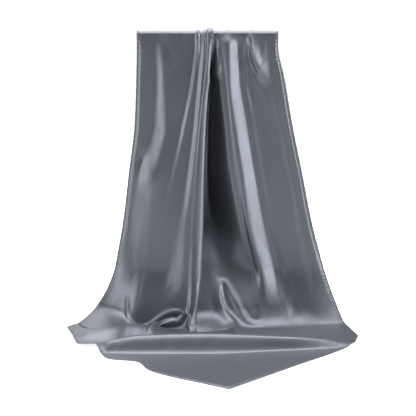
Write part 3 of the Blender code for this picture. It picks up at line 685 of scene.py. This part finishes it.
def add_cloth_maps(mesh, points, run):
    """A map in centimetres of cloth, and how far each point lies from its nearest hem."""
    across = lengths_along(points, 1)
    down = lengths_along(points, 0)
    vertex_of_corner = np.zeros(len(mesh.loops), int)
    mesh.loops.foreach_get("vertex_index", vertex_of_corner)
    flat = np.stack((across.ravel(), down.ravel()), axis=1)
    cloth_map = mesh.uv_layers.new(name="cloth")
    cloth_map.data.foreach_set("uv", flat[vertex_of_corner].astype(np.float32).ravel())
    to_sides = np.minimum(across, across[:, -1:] - across)
    to_ends = np.minimum(down, down[-1:] - down)
    along = np.where(to_sides < to_ends, down, run[None, :])
    for name, values in (("hem_gap", np.minimum(to_sides, to_ends)), ("hem_run", along)):
        layer = mesh.attributes.new(name=name, type="FLOAT", domain="POINT")
        layer.data.foreach_set("value", values.astype(np.float32).ravel())


def cloth_object(points, run, materials):
    """The shawl: one sheet through the grid, with its wall outside it."""
    rows, columns = points.shape[:2]
    index = np.arange(rows * columns).reshape(rows, columns)
    corners = (index[:-1, :-1], index[1:, :-1], index[1:, 1:], index[:-1, 1:])
    faces = np.stack([c.ravel() for c in corners], axis=1).tolist()
    piece = mesh_object("shawl", to_frame(points).reshape(-1, 3).tolist(), faces, materials)
    add_cloth_maps(piece.data, points, run)
    wall = piece.modifiers.new("wall", "SOLIDIFY")
    wall.thickness = CLOTH_WALL * CM
    wall.offset = 1.0
    wall.material_offset = 1
    wall.material_offset_rim = 0
    return piece


def hem_lines(points):
    """Each hem's edge, outward direction and normal, point by point.

    The right hem starts at the front corner and runs round the right end and up the side.
    """
    normals = surface_normals(points)
    corner = int(np.argmin(points[-1, :, 1]))
    bottom = (points[-1], unit(points[-1] - points[-2]), normals[-1])
    right = (points[:, -1], unit(points[:, -1] - points[:, -2]), normals[:, -1])
    left = (points[:, 0], unit(points[:, 0] - points[:, 1]), normals[:, 0])
    back = (points[0], unit(points[0] - points[1]), normals[0])
    round_front = [
        np.concatenate((low[corner:], side[::-1][1:])) for low, side in zip(bottom, right)
    ]
    return {
        "left_hem": left,
        "right_hem": round_front,
        "front_hem": [part[:corner + 1] for part in bottom],
        "back_hem": back,
    }


def read_line(line, step):
    """A hem's line read again at even steps."""
    edge = line[0]
    marks = np.concatenate(([0.0], np.cumsum(np.linalg.norm(np.diff(edge, axis=0), axis=1))))
    runs = np.linspace(0.0, marks[-1], int(marks[-1] / step) + 1)
    edge, outward, normal = [
        np.stack([np.interp(runs, marks, part[:, k]) for k in range(3)], axis=1) for part in line
    ]
    along = unit(np.gradient(edge, axis=0))
    normal = unit(normal - along * (normal * along).sum(axis=1, keepdims=True))
    outward = unit(outward - along * (outward * along).sum(axis=1, keepdims=True))
    return runs, edge, outward, normal, along


def hem_roll(line):
    """The rolled edge: an oval ring at each step, slightly uneven as hand rolling leaves it."""
    runs, edge, outward, normal, _along = read_line(line, HEM_STEP)
    wobble = sum(size * np.sin(2 * math.pi * runs / period + phase)
                 for period, phase, size in HEM_WOBBLES)
    centre = edge + outward * HEM_WIDTH / 2
    centre += normal * (CLOTH_WALL / 2 + wobble)[:, None]
    turns = np.arange(HEM_SIDES) * 2 * math.pi / HEM_SIDES
    half_width = (HEM_WIDTH / 2 + wobble * 0.5)[:, None, None]
    rings = (
        centre[:, None, :]
        + outward[:, None, :] * (np.cos(turns)[None, :, None] * half_width)
        + normal[:, None, :] * (np.sin(turns)[None, :, None] * HEM_HEIGHT / 2)
    )
    rings[:, :, 2] = np.maximum(rings[:, :, 2], 0.0)
    faces = []
    for k in range(len(runs) - 1):
        for side in range(HEM_SIDES):
            after = (side + 1) % HEM_SIDES
            low, high = k * HEM_SIDES, (k + 1) * HEM_SIDES
            faces.append((low + side, low + after, high + after, high + side))
    faces.append(tuple(range(HEM_SIDES))[::-1])
    faces.append(tuple((len(runs) - 1) * HEM_SIDES + side for side in range(HEM_SIDES)))
    return rings.reshape(-1, 3), faces


def hem_stitches(line):
    """Small spindles of thread along both faces of the hem's inner edge."""
    _runs, edge, outward, normal, along = read_line(line, STITCH_SPACING)
    spots = []
    faces = []
    for face in (1.0, -1.0):
        lift = CLOTH_WALL / 2 + face * (HEM_HEIGHT / 2 - STITCH_THICKNESS / 4)
        centre = edge + outward * STITCH_INSET + normal * lift
        half = STITCH_THICKNESS / 2
        for k in range(1, len(centre) - 1):
            first = len(spots)
            ends = along[k] * STITCH_LENGTH / 2
            spots += [centre[k] - ends, centre[k] + ends]
            spots += [centre[k] + way * half
                      for way in (outward[k], normal[k], -outward[k], -normal[k])]
            for side in range(4):
                a, b = first + 2 + side, first + 2 + (side + 1) % 4
                faces += [(first, b, a), (first + 1, a, b)]
    spots = np.array(spots)
    spots[:, 2] = np.maximum(spots[:, 2], 0.0)
    return spots, faces


def hem_object(name, line, hem, thread):
    """A rolled hem with its stitches."""
    roll_points, roll_faces = hem_roll(line)
    thread_points, thread_faces = hem_stitches(line)
    first = len(roll_points)
    faces = roll_faces + [tuple(first + k for k in face) for face in thread_faces]
    spots = to_frame(np.concatenate((roll_points, thread_points)))
    piece = mesh_object(name, spots.tolist(), faces, [hem, thread])
    slots = np.zeros(len(faces), np.int32)
    slots[len(roll_faces):] = 1
    piece.data.polygons.foreach_set("material_index", slots)
    return piece


def principled(name):
    """A new material, its node tree and its shader."""
    material = bpy.data.materials.new(name)
    material.use_nodes = True
    return material, material.node_tree, material.node_tree.nodes["Principled BSDF"]


def add(tree, kind, **settings):
    """A new node with these settings."""
    node = tree.nodes.new(kind)
    for name, value in settings.items():
        setattr(node, name, value)
    return node


def link(tree, source, target):
    """Join a node's output to an input."""
    tree.links.new(source, target)


def noise(tree, source, scale, detail=2.0):
    """Noise in a coordinate that is stretched by a scale for each axis."""
    stretch = add(tree, "ShaderNodeMapping")
    stretch.inputs["Scale"].default_value = scale
    link(tree, source, stretch.inputs["Vector"])
    texture = add(tree, "ShaderNodeTexNoise")
    texture.inputs["Scale"].default_value = 1.0
    texture.inputs["Detail"].default_value = detail
    link(tree, stretch.outputs["Vector"], texture.inputs["Vector"])
    return texture.outputs["Fac"]


def spread_over(tree, source, low, high):
    """A value from 0 to 1 spread over low to high."""
    spread = add(tree, "ShaderNodeMapRange")
    spread.inputs["To Min"].default_value = low
    spread.inputs["To Max"].default_value = high
    link(tree, source, spread.inputs["Value"])
    return spread.outputs["Result"]


def calculate(tree, operation, first, second=0.0):
    """The result of one sum, on numbers or on other nodes' values."""
    node = add(tree, "ShaderNodeMath", operation=operation)
    for socket, value in zip(node.inputs, (first, second)):
        if isinstance(value, (int, float)):
            socket.default_value = value
        else:
            link(tree, value, socket)
    return node.outputs["Value"]


def tinted(tree, colour, amount):
    """A colour made lighter and darker by a value around 1."""
    tint = add(tree, "ShaderNodeVectorMath", operation="SCALE")
    tint.inputs[0].default_value = colour
    link(tree, amount, tint.inputs["Scale"])
    return tint.outputs["Vector"]


def bumped(tree, height, bump, shader, under=None):
    """Bump the shader's surface, over what an earlier bump has made."""
    node = add(tree, "ShaderNodeBump")
    node.inputs["Distance"].default_value = bump.distance
    node.inputs["Strength"].default_value = bump.strength
    link(tree, height, node.inputs["Height"])
    if under is not None:
        link(tree, under, node.inputs["Normal"])
    link(tree, node.outputs["Normal"], shader.inputs["Normal"])
    return node.outputs["Normal"]


def toned(tree, colour, tone, tones, shader):
    """The shader's colour, lighter and darker as tone goes over tones."""
    link(tree, tinted(tree, colour, spread_over(tree, tone, *tones)), shader.inputs["Base Color"])


def roughened(tree, source, limits, shader):
    """The shader's roughness, as source goes over its limits."""
    link(tree, spread_over(tree, source, *limits), shader.inputs["Roughness"])


def hem_puckers(tree, patches):
    """Small waves along the hem, dying away from it, with patches to keep them uneven."""
    gap = add(tree, "ShaderNodeAttribute", attribute_name="hem_gap").outputs["Fac"]
    run = add(tree, "ShaderNodeAttribute", attribute_name="hem_run").outputs["Fac"]
    drift = calculate(tree, "MULTIPLY", patches, PUCKER_DRIFT)
    turns = calculate(tree, "MULTIPLY", run, 2 * math.pi / PUCKER_PERIOD)
    wave = calculate(tree, "SINE", calculate(tree, "ADD", turns, drift))
    near = add(tree, "ShaderNodeMapRange", interpolation_type="SMOOTHSTEP")
    near.inputs["From Max"].default_value = PUCKER_REACH
    near.inputs["To Min"].default_value = 1.0
    near.inputs["To Max"].default_value = 0.0
    link(tree, gap, near.inputs["Value"])
    return calculate(tree, "MULTIPLY", wave, near.outputs["Result"])


def satin_material(face):
    """Satin: long floating threads down the cloth, and puckers drawn in by the hem's stitches."""
    material, tree, shader = principled(face.name)
    cloth_map = add(tree, "ShaderNodeUVMap", uv_map="cloth").outputs["UV"]
    floats = noise(tree, cloth_map, FLOAT_GRAIN, 3.0)
    threads = noise(tree, cloth_map, THREAD_GRAIN, 1.0)
    patches = noise(tree, cloth_map, PATCH_GRAIN)
    slack = noise(tree, cloth_map, SLACK_GRAIN, 3.0)
    weave = calculate(tree, "ADD", calculate(tree, "MULTIPLY", threads, THREAD_SHARE), floats)
    shade = calculate(
        tree, "ADD",
        spread_over(tree, floats, 1 - face.streaks, 1 + face.streaks),
        spread_over(tree, patches, -PATCH_TINT, PATCH_TINT),
    )
    link(tree, tinted(tree, face.colour, shade), shader.inputs["Base Color"])
    smoothest, roughest = face.roughness - ROUGHNESS_SPREAD, face.roughness + ROUGHNESS_SPREAD
    roughened(tree, floats, (smoothest, roughest), shader)
    shader.inputs["Metallic"].default_value = face.metallic
    shader.inputs["Sheen Weight"].default_value = SHEEN
    shader.inputs["Sheen Roughness"].default_value = SHEEN_ROUGHNESS
    puckered = bumped(tree, hem_puckers(tree, patches), PUCKER_BUMP, shader)
    draped = bumped(tree, slack, SLACK_BUMP, shader, puckered)
    bumped(tree, weave, WEAVE_BUMP, shader, draped)
    return material


def hem_material():
    """The satin of the rolled hems, finely grained and uneven in tone."""
    material, tree, shader = principled("hem")
    place = add(tree, "ShaderNodeTexCoord").outputs["Object"]
    grain = noise(tree, place, HEM_GRAIN)
    toned(tree, HEM_COLOUR, noise(tree, place, HEM_TONE_GRAIN, 3.0), HEM_TONES, shader)
    roughened(tree, grain, HEM_ROUGHNESS, shader)
    shader.inputs["Metallic"].default_value = HEM_METALLIC
    bumped(tree, grain, HEM_BUMP, shader)
    return material


def thread_material():
    """Twisted sewing thread."""
    material, tree, shader = principled("thread")
    place = add(tree, "ShaderNodeTexCoord").outputs["Object"]
    twist = noise(tree, place, TWIST_GRAIN, 1.0)
    toned(tree, THREAD_COLOUR, twist, THREAD_TONES, shader)
    roughened(tree, twist, THREAD_ROUGHNESS, shader)
    bumped(tree, twist, TWIST_BUMP, shader)
    return material


def rod_material():
    """Satin paint with a faint orange peel, and scuffs along the rod."""
    material, tree, shader = principled("rod paint")
    place = add(tree, "ShaderNodeTexCoord").outputs["Object"]
    scuffs = noise(tree, place, SCUFF_GRAIN, 4.0)
    toned(tree, ROD_COLOUR, scuffs, ROD_TONES, shader)
    roughened(tree, scuffs, ROD_ROUGHNESS, shader)
    shader.inputs["Metallic"].default_value = ROD_METALLIC
    bumped(tree, noise(tree, place, PEEL_GRAIN), PEEL_BUMP, shader)
    return material


def add_camera():
    """The camera, at the photograph's viewing angle."""
    lens = bpy.data.cameras.new("camera")
    lens.sensor_width = SENSOR_WIDTH
    lens.lens = SENSOR_WIDTH * FOCAL_PIXELS / PHOTO_SIDE
    camera = bpy.data.objects.new("camera", lens)
    bpy.context.scene.collection.objects.link(camera)
    camera.location = CAMERA_PLACE
    camera.rotation_euler = (math.radians(90 - CAMERA_TILT), 0.0, 0.0)
    bpy.context.scene.camera = camera


def floor_corners():
    """The x and y of the floor's corners."""
    half = FLOOR_HALF
    return [(-half, -half), (half, -half), (half, half), (-half, half)]


def add_floor():
    """A pale floor that glows towards white away from the shawl."""
    paint, tree, shader = principled("pale floor")
    shader.inputs["Base Color"].default_value = FLOOR_GREY
    shader.inputs["Roughness"].default_value = FLOOR_ROUGHNESS
    shader.inputs["Emission Color"].default_value = WHITE
    place = add(tree, "ShaderNodeTexCoord").outputs["Object"]
    gap = add(tree, "ShaderNodeVectorMath", operation="LENGTH")
    link(tree, place, gap.inputs[0])
    glow = add(tree, "ShaderNodeMapRange", interpolation_type="SMOOTHSTEP")
    glow.inputs["From Min"].default_value = FLOOR_NEAR
    glow.inputs["From Max"].default_value = FLOOR_FAR
    glow.inputs["To Min"].default_value = FLOOR_GLOW
    glow.inputs["To Max"].default_value = FLOOR_GLOW_FAR
    link(tree, gap.outputs["Value"], glow.inputs["Value"])
    link(tree, glow.outputs["Result"], shader.inputs["Emission Strength"])
    spots = [(x, y, FLOOR_Z - FLOOR_BELOW_CLOTH) for x, y in floor_corners()]
    mesh_object("floor", spots, [(0, 1, 2, 3)], [paint])


def add_backdrop():
    """Plain pale walls round the floor, seen by the camera alone, so they light nothing."""
    paint, _tree, shader = principled("pale backdrop")
    shader.inputs["Base Color"].default_value = BLACK
    shader.inputs["Specular IOR Level"].default_value = 0.0
    shader.inputs["Emission Color"].default_value = WHITE
    shader.inputs["Emission Strength"].default_value = FLOOR_GLOW_FAR
    spots = [(x, y, z) for z in (FLOOR_Z, BACKDROP_HEIGHT) for x, y in floor_corners()]
    faces = [(k, (k + 1) % 4, 4 + (k + 1) % 4, 4 + k) for k in range(4)]
    walls = mesh_object("backdrop", spots, faces, [paint])
    walls.visible_diffuse = False
    walls.visible_glossy = False
    walls.visible_transmission = False
    walls.visible_volume_scatter = False
    walls.visible_shadow = False


def add_lamp(lamp):
    """A rectangular soft lamp that faces its aim."""
    light = bpy.data.lights.new(lamp.name, "AREA")
    light.shape = "RECTANGLE"
    light.size, light.size_y = lamp.size
    light.energy = lamp.power
    holder = bpy.data.objects.new(lamp.name, light)
    bpy.context.scene.collection.objects.link(holder)
    holder.location = lamp.place
    way = [b - a for a, b in zip(lamp.place, lamp.aim)]
    holder.rotation_euler = (
        math.atan2(math.hypot(way[0], way[1]), -way[2]),
        0.0,
        math.atan2(way[1], way[0]) - math.pi / 2,
    )


def add_studio():
    """The camera, the pale floor and backdrop, and the soft light."""
    scene = bpy.context.scene
    scene.view_settings.view_transform = "Standard"
    add_camera()
    add_floor()
    add_backdrop()
    scene.world = bpy.data.worlds.new("studio")
    scene.world.use_nodes = True
    background = scene.world.node_tree.nodes["Background"]
    background.inputs["Color"].default_value = WHITE
    background.inputs["Strength"].default_value = WORLD_LIGHT
    for lamp in LAMPS:
        add_lamp(lamp)


def main():
    """Light the studio, and dress the solids."""
    add_studio()
    satin = satin_material(SHINY_FACE)
    reverse = satin_material(DULL_FACE)
    hem = hem_material()
    thread = thread_material()
    points, places = cloth_grid()
    shawl = cloth_object(points, column(FOLD_LINES, "run", places), [satin, reverse])
    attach(shawl, "root")
    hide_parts("front_drop", "floor_spread", "back_drop")
    for name, line in hem_lines(points).items():
        piece = hem_object(name, line, hem, thread)
        side = name.split("_")[0]
        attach(piece, "root")
        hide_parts("hem_" + side)
    paint = rod_material()
    for slot in bpy.data.objects["rod"].material_slots:
        slot.material = paint


main()
